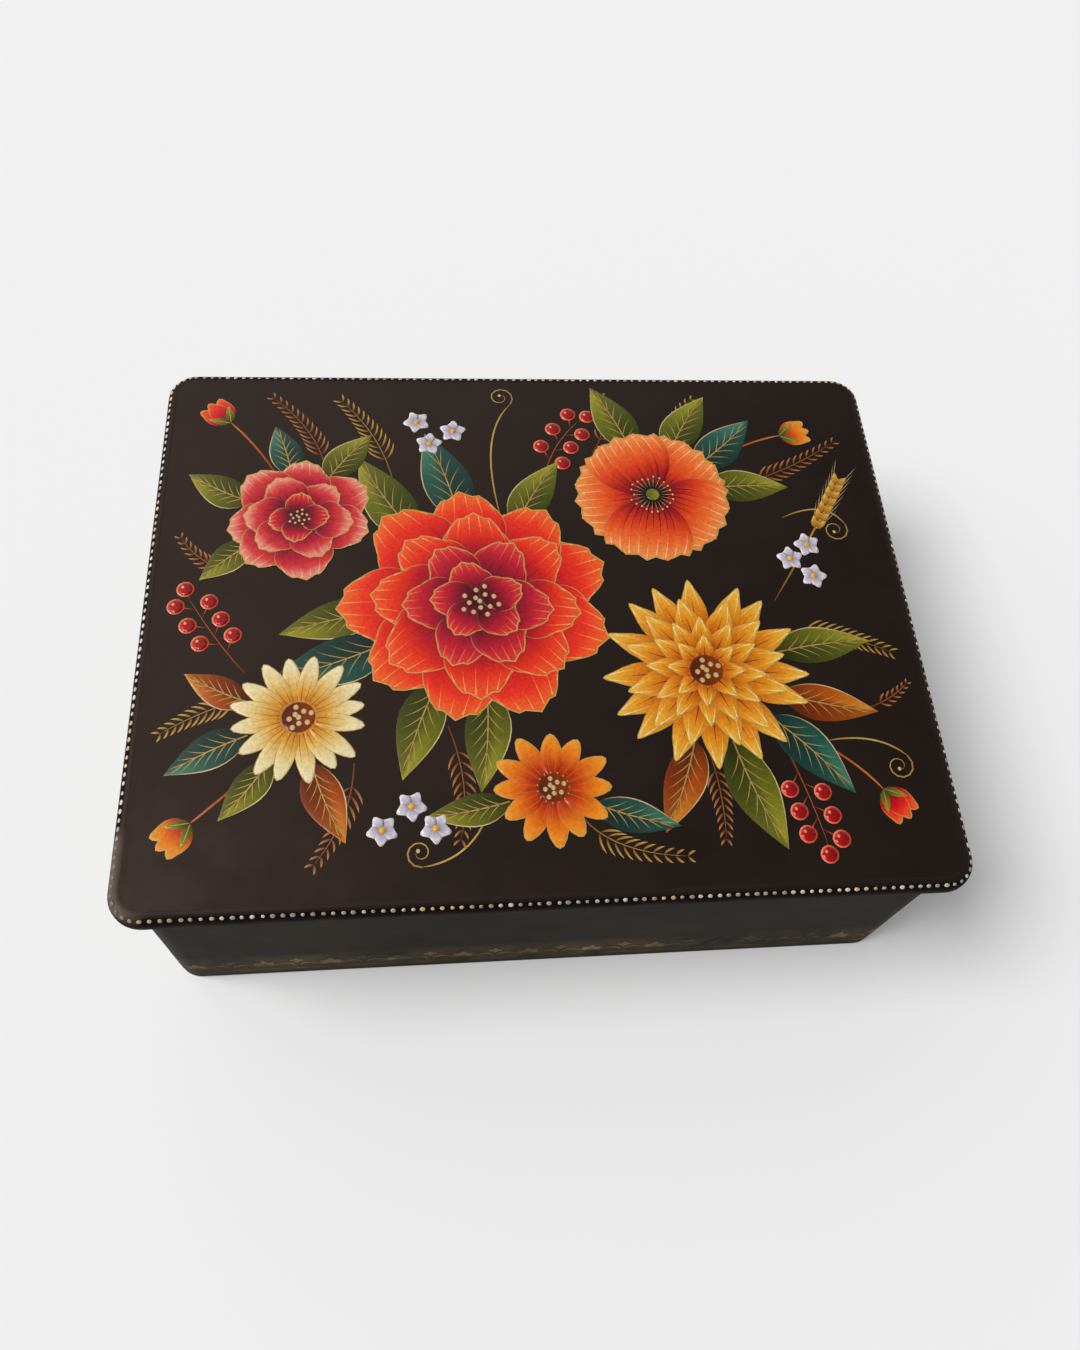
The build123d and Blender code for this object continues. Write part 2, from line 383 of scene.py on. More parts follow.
class Brushwork:
    """Brush strokes on a surface, gathered into one mesh. lay turns a flat place and a height, in
    millimetres, into a point over the surface. Thick paint has edges that reach straight down to its foot."""

    def __init__(self, lay, foot=None):
        self.lay = lay
        self.foot = foot
        self.strokes = 0
        self.mesh = bmesh.new()
        self.paint = self.mesh.verts.layers.float_color.new("paint")
        self.cell = self.mesh.verts.layers.float_vector.new("cell")

    def fill(self, shape, tint, height, columns, rows):
        """One stroke. shape and tint give place and colour at a share along, 0 to 1, and across, -1 to 1."""
        grid = bmesh.ops.create_grid(self.mesh, x_segments=columns, y_segments=rows, size=1.0)
        for vert in grid["verts"]:
            along, across = (vert.co.x + 1) / 2, vert.co.y
            vert[self.paint] = tint(along, across)
            vert[self.cell] = (along, (across + 1) / 2, self.strokes)
            vert.co = self.lay(shape(along, across), height) * MM
        if self.foot is not None:
            self.close_edge(grid["verts"], height)
        self.strokes += 1

    def close_edge(self, verts, height):
        """Draws the outline of a new stroke down to the foot."""
        edges = (edge for vert in verts for edge in vert.link_edges if edge.verts[0] == vert)
        outline = [edge for edge in edges if edge.is_boundary]
        drawn = bmesh.ops.extrude_edge_only(self.mesh, edges=outline)["geom"]
        lower = [part for part in drawn if isinstance(part, bmesh.types.BMVert)]
        bmesh.ops.translate(self.mesh, verts=lower, vec=(0, 0, (self.foot - height) * MM))

    def stroke(self, route, width, colours, height, press, steps):
        """A drawn line along a route. press gives the share of its width at a share along."""
        def shape(along, across):
            ahead = route(min(along + 0.01, 1.0)) - route(max(along - 0.01, 0.0))
            left = Vector((-ahead.y, ahead.x)).normalized()
            return route(along) + left * (across * width / 2 * press(along))
        self.fill(shape, wash(colours), height, steps, 1)

    def dot(self, centre, radius, colours, height, segments=2):
        """A round dab: a square grid eased out to a circle."""
        def shape(along, across):
            level = 2 * along - 1
            reach = Vector((level * sqrt(1 - across ** 2 / 2), across * sqrt(1 - level ** 2 / 2)))
            return Vector(centre) + reach * radius
        self.fill(shape, wash(colours), height, segments, segments)

    def finish(self, name, material, body):
        """Makes the strokes a piece, welded where they meet, each with a square of the map for baking."""
        side = ceil(sqrt(self.strokes))
        used = 1 - 2 * MAP_MARGIN
        atlas = self.mesh.loops.layers.uv.new("OFBake")
        for face in self.mesh.faces:
            for loop in face.loops:
                along, across, number = loop.vert[self.cell]
                row, column = divmod(round(number), side)
                loop[atlas].uv = (
                    (column + MAP_MARGIN + used * along) / side, (row + MAP_MARGIN + used * across) / side)
        self.mesh.verts.layers.float_vector.remove(self.cell)
        bmesh.ops.remove_doubles(self.mesh, verts=self.mesh.verts, dist=WELD * MM)
        new_piece(name, self.mesh, material, body)


def new_object(name, data):
    """Puts an object into the scene."""
    thing = bpy.data.objects.new(name, data)
    bpy.context.scene.collection.objects.link(thing)
    return thing


def mesh_object(name, mesh, material):
    """Makes a bmesh an object with a material."""
    data = bpy.data.meshes.new(name)
    mesh.to_mesh(data)
    mesh.free()
    data.materials.append(material)
    return new_object(name, data)


def new_piece(name, mesh, material, body):
    """Makes a bmesh a smooth-shaded object that rides on a body."""
    for face in mesh.faces:
        face.smooth = True
    piece = mesh_object(name, mesh, material)
    piece.modifiers.new("flat faces stay flat", "WEIGHTED_NORMAL")
    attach(piece, body)


def heading(angle):
    """The direction at an angle in degrees, counted from +X towards +Y."""
    return Vector((cos(radians(angle)), sin(radians(angle))))


def way_round(half_x, half_y, radius):
    """The length of a rounded rectangle's outline."""
    return 4 * (half_x + half_y - 2 * radius) + 2 * pi * radius


lid_round = way_round(lid_high.x, lid_high.y, LID_CORNER_RADIUS)
walls_round = way_round(walls_high.x, walls_high.y, WALL_CORNER_RADIUS)


def spot_round(distance, half_x, half_y, radius):
    """The place and outward direction at a distance round a rounded rectangle, from its front left corner."""
    quarter = pi * radius / 2
    for side in range(4):
        out, ahead = heading(90 * side - 90), heading(90 * side)
        length = 2 * ((half_x, half_y)[side % 2] - radius)
        corner = ahead * length / 2 + out * ((half_y, half_x)[side % 2] - radius)
        if distance <= length:
            return corner + out * radius - ahead * (length - distance), out
        distance -= length
        if distance <= quarter:
            out = heading(90 * side - 90 + 90 * distance / quarter)
            return corner + out * radius, out
        distance -= quarter
    return spot_round(distance, half_x, half_y, radius)


def lid_top(x, y):
    """Height of the crowned lid over the table."""
    wide = max(0.0, 1 - (x / (lid_high.x - crown_inset)) ** 2)
    deep = max(0.0, 1 - (y / (lid_high.y - crown_inset)) ** 2)
    return edge_top + LID_CROWN * wide * deep


def on_lid(place, height):
    """A point over the lid's crowned top."""
    return Vector((place.x, place.y, lid_top(place.x, place.y) + height))


def thinned(height, below):
    """The height of paint at a way below its upper edge, where it thins out so that there is no step."""
    return height * min(1.0, THINNEST + max(below, 0.0) / EASED)


def on_edge(place, height):
    """A point over the lid's edge. place is the distance round the lid and the way up from the lip's lowest
    line."""
    spot, out = spot_round(place.x, lid_high.x, lid_high.y, LID_CORNER_RADIUS)
    height = thinned(height, SHOULDER_TOP - place.y)
    if place.y < LIP_TOP:
        lean, radius, middle = place.y / LID_LIP_RADIUS - pi / 2, LID_LIP_RADIUS, seat + LID_LIP_RADIUS
    else:
        lean = max(place.y - FACE_TOP, 0.0) / LID_SHOULDER_RADIUS
        radius, middle = LID_SHOULDER_RADIUS, edge_top - LID_SHOULDER_RADIUS - max(FACE_TOP - place.y, 0.0)
    out_by = (radius + height) * cos(lean) - radius
    return Vector((*(spot + out * out_by), middle + (radius + height) * sin(lean)))


def on_walls(place, height):
    """A point over the walls. place is the distance round the box and the height over the table."""
    spot, out = spot_round(place.x % walls_round, walls_high.x, walls_high.y, WALL_CORNER_RADIUS)
    return Vector((*(spot + out * thinned(height, FILM_HIGH - place.y)), place.y))


# Brush pressure along a stroke: thin at both ends, thick to thin, and even
def swell(along):
    return max(sin(pi * along), 0.0) ** 0.7


def flick(along):
    return (1 - along) ** 0.8


def steady(along):
    return min(1.0, 0.3 + 5 * along, 0.3 + 5 * (1 - along))


def blend(colours, share):
    """The colour at a share, 0 to 1, of a run of colours."""
    place = min(max(share, 0.0), 1.0) * (len(colours) - 1)
    low = min(int(place), len(colours) - 2)
    return tuple(a + (b - a) * (place - low) for a, b in zip(colours[low], colours[low + 1]))


def wash(colours, streak=0.0, streaks=5):
    """A tint that runs through colours along a stroke, in streaks where the hairs carry one further."""
    return lambda along, across: blend(colours, along + streak * sin(streaks * pi * across))


def curve(*points):
    """A route along the Bezier curve with these control points."""
    def route(along):
        level = [Vector(point) for point in points]
        while len(level) > 1:
            level = [a.lerp(b, along) for a, b in zip(level, level[1:])]
        return level[0]
    return route


def lean_of(route, along):
    """The angle in degrees at which a route runs."""
    ahead = route(min(along + 0.02, 1.0)) - route(max(along - 0.02, 0.0))
    return degrees(atan2(ahead.y, ahead.x))


def spread(count, reach=1.0):
    """Evenly spaced places from -reach to reach."""
    return [reach * (2 * i / (count - 1) - 1) for i in range(count)]


def petal(root, angle, length, width, close=0.72, early=0.6, tip=0.25, ruffle=0.0, waves=3, bend=0.0):
    """The shape of a petal or leaf. close is 1 for a pointed tip and less for a blunt one, early puts its
    widest part nearer the root, tip rounds the end, ruffle waves it and bend curves the whole to the left."""
    ahead = heading(angle)
    left = Vector((-ahead.y, ahead.x))

    def shape(along, across):
        half = width / 2 * sin(pi * close * along ** early)
        reach = along * (1 - tip * along * across ** 2 + ruffle * along * cos(waves * pi * across))
        return root + ahead * (length * reach) + left * (half * across + bend * length * along ** 2)
    return shape


def rim_of(shape, start=0.3):
    """A route round a petal's outer edge, from its right side over the tip to its left."""
    def route(along):
        third = 3 * along
        if third < 1:
            return shape(start + (1 - start) * third, -1.0)
        if third < 2:
            return shape(1.0, 2 * third - 3)
        return shape(1.0 - (1 - start) * (third - 2), 1.0)
    return route


def line_on(shape, start, end, across):
    """A route on a petal from one share along it to another."""
    return lambda along: shape(start + (end - start) * along, across)


leaves, blooms = (Brushwork(on_lid, PAINT_FOOT) for _ in range(2))
lines, gold = (Brushwork(on_lid) for _ in range(2))

GOLD = run_of("#a8803c", "#e0b65e", "#b88c44")
PALE_GOLD = run_of("#caa05a", "#ecd6a0", "#c99f57")
SALMON = run_of("#e8896a", "#c4412c")
WINE = run_of("#3a0a12", "#6c1020")
FIRE = run_of("#f8b070", "#f0522a")
RED_OUTER = run_of("#3c0814", "#8c1020", "#d02024", "#ee3828", "#f46c34")
RED_MIDDLE = run_of("#3c0814", "#7c0e22", "#b81a28", "#ea3824", "#f4603a")
RED_INNER = run_of("#2c0610", "#5c0a1e", "#94122c", "#c42234", "#e04a44")
ROSE = run_of("#2c0612", "#780c28", "#b41c34", "#d84848", "#eda08a")
AMBER = run_of("#4a1608", "#a8440e", "#d87a18", "#e8a030", "#f0c45c")
CORAL = run_of("#3a0810", "#a01820", "#e0401e", "#ee6c34", "#f29a58")
CREAM = run_of("#b86018", "#dca444", "#ead494", "#f2e6c4")
ORANGE = run_of("#6c160a", "#c83c10", "#ea7a1c", "#f0a23c")
LILAC = run_of("#7a6c8c", "#c4bac8", "#eae4e6")
OLIVE = (run_of("#2c3410", "#6a6c20", "#a3a038"), run_of("#1c240c", "#444c18", "#71702a"))
TEAL = (run_of("#0f2a26", "#24564c", "#4a8a70"), run_of("#0a1e1c", "#173c36", "#29584c"))
RUSSET = (run_of("#5a1c0c", "#b0501a", "#dc9038"), run_of("#3c120a", "#803410", "#a85c20"))
STRAW = run_of("#7a4c18", "#c08a34", "#e0b860")
RUST = run_of("#6a2c12", "#b0622c", "#d89a5c")
STEM = run_of("#5a2412", "#b0502c", "#c87a48")


def line_petal(shape, height, light, dark, count):
    """Fine lines on a petal: pale ones in from its edge, dark ones out from its root, gold along its rim."""
    top = height + LINE_LIFT
    for across in spread(count, 0.86):
        depth = 0.55 + 0.2 * chance.random()
        lines.stroke(line_on(shape, 0.97, depth, across), 0.3, light, top, flick, 4)
    for across in spread(count - 1, 0.6):
        reach = 0.5 + 0.18 * chance.random()
        lines.stroke(line_on(shape, 0.12, reach, across), 0.34, dark, top, flick, 4)
    gold.stroke(rim_of(shape), 0.34, GOLD, top, swell, 30)


def peony(centre, size, turn, rings, height):
    """A full bloom of broad ruffled petals, ring inside ring, with a heart of pale stamens."""
    order = 0
    for count, start, length, width, colours, light in rings:
        for i in range(count):
            angle = turn + 360 * (i + 0.35 * chance.random()) / count
            scale = size * (0.94 + 0.12 * chance.random())
            root = Vector(centre) + heading(angle) * start * size
            sway = 0.08 * chance.uniform(-1, 1)
            shape = petal(root, angle, length * scale, width * scale, ruffle=0.03, bend=sway)
            lift = height + STEP * order
            blooms.fill(shape, wash(colours, 0.05), lift, 8, 10)
            line_petal(shape, lift, light, WINE, 6)
            order += 1
        turn += 180 / count
    lift = height + STEP * order
    for i in range(14):
        spot = Vector(centre) + heading(i * GOLDEN_ANGLE) * size * 0.04 * sqrt(i)
        gold.dot(spot, 0.02 * size, PALE_GOLD, lift)


def heart(centre, radius, height):
    """The middle of a flower: a dark disc under a ring and a crowd of pale dots."""
    blooms.dot(centre, radius, run_of("#4a1408", "#8a3a10"), height, 4)
    for i in range(9):
        spot = Vector(centre) + heading(i * GOLDEN_ANGLE) * radius * 0.28 * sqrt(i)
        gold.dot(spot, 0.14 * radius + 0.12, PALE_GOLD, height + LINE_LIFT)
    ring = max(10, int(radius * 5))
    for i in range(ring):
        gold.dot(Vector(centre) + heading(360 * i / ring) * radius * 1.1, 0.2, GOLD, height + LINE_LIFT)


def dahlia(centre, size, turn, rings, colours, height):
    """A bloom of many narrow pointed petals, in rings of a multiple of four."""
    order = 0
    for count, start, length, width in rings:
        for i in range(count):
            angle = turn + 360 * i / count + 4 * chance.uniform(-1, 1)
            root = Vector(centre) + heading(angle) * start * size
            shape = petal(root, angle, length * size, width * size, close=0.92, early=0.75, tip=0.1)
            lift = height + STEP * (order + i % 4)
            blooms.fill(shape, wash(colours, 0.05, 3), lift, 6, 4)
            top = lift + LINE_LIFT
            lines.stroke(line_on(shape, 0.1, 0.72, 0.0), 0.36, WINE, top, flick, 4)
            for across in (-0.5, 0.5):
                pale = run_of("#f8e4b0", "#eeb03c")
                lines.stroke(line_on(shape, 0.94, 0.5, across), 0.26, pale, top, flick, 4)
            gold.stroke(rim_of(shape, 0.4), 0.26, GOLD, top, swell, 10)
        order += 4
        turn += 180 / count
    heart(centre, size * 0.16, height + STEP * order)


def poppy(centre, size, turn, colours, height):
    """Five wide ruffled petals round a dark eye with gold stamens."""
    middle = Vector(centre)
    for i in range(5):
        angle = turn + 144 * i + 6 * chance.uniform(-1, 1)
        shape = petal(middle, angle, size, size * 1.15,
                      close=0.62, early=0.7, tip=0.16, ruffle=0.035, waves=4)
        lift = height + STEP * i
        blooms.fill(shape, wash(colours, 0.04, 7), lift, 8, 16)
        line_petal(shape, lift, run_of("#fad0a8", "#ee8450"), WINE, 9)
    lift = height + STEP * 5
    blooms.dot(centre, size * 0.2, run_of("#140a10", "#2a1216"), lift, 4)
    blooms.dot(centre, size * 0.09, run_of("#4d5a1c", "#8d8c30"), lift + LINE_LIFT, 4)
    for i in range(22):
        away = heading(360 * i / 22)
        end = size * (0.24 + 0.06 * chance.random())
        thread = curve(middle + away * size * 0.12, middle + away * end)
        gold.stroke(thread, 0.16, GOLD, lift + LINE_LIFT, steady, 2)
        gold.dot(middle + away * end, 0.3, PALE_GOLD, lift + 2 * LINE_LIFT)


def daisy(centre, size, turn, count, colours, height):
    """A ring of narrow petals, a multiple of four, each over the one before it."""
    for i in range(count):
        angle = turn + 360 * i / count + 3 * chance.uniform(-1, 1)
        length = size * (0.92 + 0.12 * chance.random())
        root = Vector(centre) + heading(angle) * size * 0.14
        shape = petal(root, angle, length * 0.86, 4.4 * size / count, close=0.8, early=0.8, tip=0.12)
        lift = height + STEP * (i % 4)
        blooms.fill(shape, wash(colours, 0.04, 3), lift, 6, 4)
        for across in (-0.4, 0.4):
            vein = run_of("#a8481a", "#d89a4a")
            lines.stroke(line_on(shape, 0.15, 0.7, across), 0.24, vein, lift + LINE_LIFT, flick, 4)
        gold.stroke(rim_of(shape, 0.35), 0.24, GOLD, lift + LINE_LIFT, swell, 10)
    heart(centre, size * 0.24, height + 4 * STEP)


def small_flower(centre, size, turn, colours, height):
    """Five dabs round a yellow dot."""
    for i in range(5):
        shape = petal(Vector(centre), turn + 72 * i, size, size * 0.8, close=0.75, early=0.9, tip=0.3)
        blooms.fill(shape, wash(colours), height + LINE_LIFT * i, 4, 4)
    blooms.dot(centre, size * 0.24, run_of("#d89a2c", "#f0c85a"), height + LINE_LIFT * 5)


def leaf(root, angle, length, width, bend, greens, height):
    """A pointed leaf, lit on one half, with a gold rib, side veins and a line along the lit edge."""
    lit, shaded = greens
    shape = petal(Vector(root), angle, length, width, close=1.0, early=0.78, tip=0.0, bend=bend)
    leaves.fill(shape, lambda along, across: blend(lit if across > 0 else shaded, along), height, 10, 6)
    top = height + LINE_LIFT
    gold.stroke(line_on(shape, 0.02, 0.97, 0.0), 0.4, GOLD, top, flick, 8)
    for i in range(6):
        start = 0.14 + 0.12 * i
        for side in (-1, 1):
            end = shape(min(start + 0.2, 0.97), 0.82 * side)
            vein = curve(shape(start, 0.0), shape(start + 0.13, 0.35 * side), end)
            gold.stroke(vein, 0.24, GOLD, top, flick, 4)
    gold.stroke(line_on(shape, 0.06, 0.97, 1.0), 0.26, PALE_GOLD, top, swell, 10)


def sprig(points, pairs, size, colours):
    """A feathery sprig: a thin stem with pairs of flicked leaflets that shorten towards its tip."""
    route = curve(*points)
    gold.stroke(route, 0.36, colours, SPRIG_HEIGHT, flick, 10)
    for i in range(pairs):
        along = 0.22 + 0.76 * i / (pairs - 1)
        start, lean = route(along), lean_of(route, along)
        length = size * (1.1 - 0.7 * along)
        for side in (-1, 1):
            end = start + heading(lean + side * 38) * length
            bow = start + heading(lean + side * 58) * length * 0.5
            gold.stroke(curve(start, bow, end), 0.5, colours, SPRIG_HEIGHT, swell, 4)


def wheat(points, grains):
    """An ear of grain on its stalk: fat grains in pairs, each with a fine beard."""
    route = curve(*points)
    lines.stroke(route, 0.4, STRAW, SPRIG_HEIGHT, steady, 10)
    for i in range(grains):
        along = 0.55 + 0.45 * i / grains
        lean = lean_of(route, along)
        for side in (-1, 1):
            shape = petal(route(along), lean + side * 24, 4.2, 1.7, close=1.0, early=0.8, tip=0.0)
            leaves.fill(shape, wash(STRAW), SPRIG_HEIGHT + LINE_LIFT * (2 * i + side + 2), 4, 2)
            tip = shape(1.0, 0.0)
            beard = curve(tip, tip + heading(lean + side * 14) * 5)
            gold.stroke(beard, 0.16, PALE_GOLD, SPRIG_HEIGHT, flick, 2)


def tendril(points, curl_radius, turns):
    """A gold line that ends in a curl, to the left for a positive number of turns."""
    route = curve(*points)
    gold.stroke(route, 0.4, GOLD, SPRIG_HEIGHT, steady, 12)
    side = 1 if turns > 0 else -1
    lean = lean_of(route, 1.0)
    centre = route(1.0) + heading(lean + 90 * side) * curl_radius

    def curl(along):
        return centre + heading(lean - 90 * side + 360 * turns * along) * curl_radius * (1 - 0.8 * along)
    gold.stroke(curl, 0.4, GOLD, SPRIG_HEIGHT, flick, 16)
    gold.dot(curl(1.0), 0.45, PALE_GOLD, SPRIG_HEIGHT + LINE_LIFT)


def berries(points):
    """Red berries on short stalks along a stem, each with a pale ring and a spark."""
    route = curve(*points)
    radius = BERRY_RADIUS
    lines.stroke(route, 0.4, STEM, SPRIG_HEIGHT, flick, 10)
    for i in range(BERRIES_EACH):
        along = 0.35 + 0.65 * i / (BERRIES_EACH - 1)
        lean = lean_of(route, along)
        side = 1 if i % 2 else -1
        reach = 1.9 if i < BERRIES_EACH - 1 else 0.2
        centre = route(along) + heading(lean + 90 * side) * radius * reach + heading(lean) * radius
        spark = centre + Vector((-0.35, 0.35)) * radius
        lines.stroke(curve(route(along - 0.05), centre), 0.28, STEM, SPRIG_HEIGHT, steady, 2)
        blooms.dot(centre, radius * 1.12, SALMON, SPRIG_HEIGHT + LINE_LIFT, 4)
        blooms.dot(centre, radius * 0.92, run_of("#c01c1c", "#7c0f1c"), SPRIG_HEIGHT + 2 * LINE_LIFT, 4)
        gold.dot(spark, radius * 0.2, PALE_GOLD, SPRIG_HEIGHT + 3 * LINE_LIFT)


def bud(points, colours):
    """A closed bud on its stem, with two green sepals."""
    route = curve(*points)
    size = BUD_SIZE
    lines.stroke(route, 0.5, STEM, SPRIG_HEIGHT, steady, 10)
    lean = lean_of(route, 1.0)
    for order, turn in enumerate((-22, 22, 0)):
        shape = petal(route(1.0), lean + turn, size, size * 0.62, close=0.86, early=0.7, tip=0.15)
        lift = SPRIG_HEIGHT + LINE_LIFT * (1 + 2 * order)
        blooms.fill(shape, wash(colours, 0.04), lift, 6, 4)
        gold.stroke(rim_of(shape, 0.4), 0.26, GOLD, lift + LINE_LIFT / 2, swell, 10)
    for side in (-1, 1):
        shape = petal(route(0.98), lean + side * 34, size * 0.72, size * 0.26, close=1.0, early=0.7, tip=0.0)
        leaves.fill(shape, wash(OLIVE[0]), SPRIG_HEIGHT + LINE_LIFT * 8, 5, 2)
        gold.stroke(line_on(shape, 0.05, 0.95, 0.0), 0.24, GOLD, SPRIG_HEIGHT + LINE_LIFT * 9, flick, 4)


# Rings of petals from the outer one in: how many, then, as shares of the flower's size, how far out they
# start, their length and their width. The peonies' rings also have the colours of petals and fine lines.
RED_RINGS = [
    (9, 0.3, 0.7, 0.66, RED_OUTER, FIRE),
    (8, 0.18, 0.6, 0.54, RED_MIDDLE, FIRE),
    (6, 0.08, 0.48, 0.44, RED_INNER, SALMON),
    (5, 0.0, 0.34, 0.32, RED_INNER, SALMON),
]
ROSE_RINGS = [
    (7, 0.3, 0.7, 0.78, ROSE, run_of("#f6c8b0", "#d04c50")),
    (6, 0.14, 0.58, 0.6, ROSE, run_of("#f0b0a0", "#b82c40")),
    (4, 0.0, 0.42, 0.44, RED_INNER, SALMON),
]
AMBER_RINGS = [(16, 0.3, 0.7, 0.27), (12, 0.2, 0.6, 0.28), (12, 0.12, 0.46, 0.22), (8, 0.06, 0.32, 0.18)]

# The bouquet's layout. Flowers: the middle and the size of each.
RED_PEONY = ((-14, 1), 31)
AMBER_DAHLIA = ((37, -18), 24)
CORAL_POPPY = ((30, 31), 19)
ROSE_PEONY = ((-56, 25), 17)
CREAM_DAISY = ((-54, -27), 15)
ORANGE_DAISY = ((0, -45), 13)
SMALL_FLOWERS = [
    (62, 12), (67, 7), (67, 16), (-25, 47), (-19, 51), (-28, 54), (-30, -48), (-25, -53), (-36, -53)]

# Leaves: the flower they lie behind, the ways they point, their length and width, and their colours
FOLIAGE = [
    (RED_PEONY, (66, 100, 128, 186, 206, 244, 272), 26, 11, (OLIVE, TEAL, OLIVE)),
    (AMBER_DAHLIA, (14, 340, 318, 282, 254), 25, 10, (OLIVE, RUSSET, TEAL)),
    (CORAL_POPPY, (8, 36, 66, 106), 22, 10, (OLIVE, TEAL, OLIVE)),
    (ROSE_PEONY, (60, 100, 158, 214), 16, 8, (OLIVE, TEAL, OLIVE)),
    (CREAM_DAISY, (160, 200, 240, 286), 18, 8, (RUSSET, TEAL, OLIVE)),
    (ORANGE_DAISY, (196, 336), 20, 8, (OLIVE, TEAL)),
]

# Stems between the flowers, each by the control points of its curve
BUD_STEMS = [
    ([(-60, 34), (-66, 46), (-74, 54)], RED_OUTER),
    ([(44, 40), (56, 48), (66, 50)], ORANGE),
    ([(-60, -36), (-68, -44), (-75, -50)], ORANGE),
    ([(52, -32), (66, -38), (73, -48)], RED_OUTER),
]
BERRY_STEMS = [
    [(-66, -16), (-73, -8), (-80, 4)],
    [(52, -36), (56, -48), (58, -60)],
    [(2, 30), (4, 46), (14, 55)],
]
WHEAT_STALK = [(56, 0), (70, 20), (79, 36)]
GRAIN_PAIRS = 7

# Sprigs, with how many pairs of leaflets, the length of the lowest and the colours
SPRIGS = [
    ([(56, -8), (70, -8), (82, -14)], 12, 6, STRAW),
    ([(-34, 36), (-37, 50), (-47, 61)], 12, 6, STRAW),
    ([(6, -52), (12, -60), (28, -61)], 10, 5, STRAW),
    ([(-64, -22), (-74, -24), (-83, -30)], 10, 5, STRAW),
    ([(40, 44), (36, 56), (44, 62)], 8, 4, STRAW),
    ([(-42, -38), (-42, -50), (-50, -60)], 10, 5, RUST),
    ([(-22, -30), (-17, -44), (-20, -56)], 10, 5, RUST),
    ([(35, -38), (37, -48), (36, -58)], 9, 4.6, RUST),
    ([(74, -28), (80, -26), (84, -22)], 6, 3, RUST),
    ([(-70, 10), (-78, 12), (-83, 20)], 8, 4, RUST),
    ([(16, 44), (22, 54), (20, 63)], 8, 4, RUST),
    ([(52, 34), (66, 38), (80, 48)], 12, 5, RUST),
    ([(-50, 38), (-52, 51), (-64, 62)], 12, 5, RUST),
]

# Tendrils, with the radius of the curl and its turns
TENDRILS = [
    ([(-8, 24), (-13, 50), (-4, 60)], 3.4, 1.4),
    ([(62, 24), (74, 30), (78, 22)], 3.4, -1.4),
    ([(62, -36), (74, -34), (80, -40)], 3.4, -1.4),
    ([(-14, -50), (-18, -60), (-28, -61)], 3.0, -1.4),
]


def leaves_round(centre, radius, angles, length, width, palettes, height):
    """Leaves that reach out from behind a flower, in each palette by turns. Returns the height over them."""
    for i, angle in enumerate(angles):
        root = Vector(centre) + heading(angle) * radius * 0.72
        bend = 0.12 if i % 2 else -0.12
        size = chance.uniform(0.88, 1.1)
        leaf(root, angle, length * size, width * size, bend, palettes[i % len(palettes)], height)
        height += STEP
    return height


def bouquet():
    """The lid's painting: flowers of several kinds gathered on the black, among sprigs and curls."""
    peony(*RED_PEONY, 12, RED_RINGS, BLOOM_HEIGHT)
    dahlia(*AMBER_DAHLIA, 0, AMBER_RINGS, AMBER, BLOOM_HEIGHT + 2 * BLOOM_STEP)
    poppy(*CORAL_POPPY, 40, CORAL, BLOOM_HEIGHT + BLOOM_STEP)
    peony(*ROSE_PEONY, 20, ROSE_RINGS, BLOOM_HEIGHT + BLOOM_STEP)
    daisy(*CREAM_DAISY, 10, 16, CREAM, BLOOM_HEIGHT)
    daisy(*ORANGE_DAISY, 0, 12, ORANGE, BLOOM_HEIGHT + 3 * BLOOM_STEP)
    height = LEAF_HEIGHT
    for flower, angles, length, width, palettes in FOLIAGE:
        height = leaves_round(*flower, angles, length, width, palettes, height)
    for spot in SMALL_FLOWERS:
        small_flower(spot, SMALL_SIZE, chance.uniform(0, 72), LILAC, BLOOM_HEIGHT)
    for points, colours in BUD_STEMS:
        bud(points, colours)
    for points in BERRY_STEMS:
        berries(points)
    wheat(WHEAT_STALK, GRAIN_PAIRS)
    for points, pairs, size, colours in SPRIGS:
        sprig(points, pairs, size, colours)
    for points, curl_radius, turns in TENDRILS:
        tendril(points, curl_radius, turns)

    paint = tempera()
    leaves.finish("lid_leaves", paint, "lid")
    blooms.finish("lid_blooms", paint, "lid")
    lines.finish("lid_fine_lines", paint, "lid")
    gold.finish("lid_gold_lines", gold_paint(), "lid")


GILT = run_of("#a08a68", "#dabc86")
CREAM_WHITE = run_of("#938780", "#d8ccc2")
UNDERCOAT = run_of("#140c08", "#1c100a", "#3a1d11", "#150d0a", "#120c09")   # from the lip up past the dabs
SHOULDER_BLACK = run_of("#120c09", "#191310", "#1c1512")


def dot_row(distance):
    """The way up the lid's edge to the middle of the dabs: half way round the shoulder, or a little more."""
    out = spot_round(distance, lid_high.x, lid_high.y, LID_CORNER_RADIUS)[1]
    climb = out.x ** 2 * (LEFT_CLIMB if out.x < 0 else RIGHT_CLIMB) + max(out.y, 0.0) ** 2 * BACK_CLIMB
    return (FACE_TOP + SHOULDER_TOP) / 2 + climb


def edge_band(name, material, colours, low, high):
    """A band of paint round the lid's edge, between two ways up that are given at a distance round it."""
    band = Brushwork(on_edge)
    for i in range(BAND_STRIPS):
        def strip(along, across):
            distance = (i + along) * lid_round / BAND_STRIPS
            return Vector((distance, low(distance) + (high(distance) - low(distance)) * (across + 1) / 2))
        band.fill(strip, lambda along, across: blend(colours, (across + 1) / 2), BORDER_HEIGHT, 40, 8)
    band.finish(name, material, "lid")


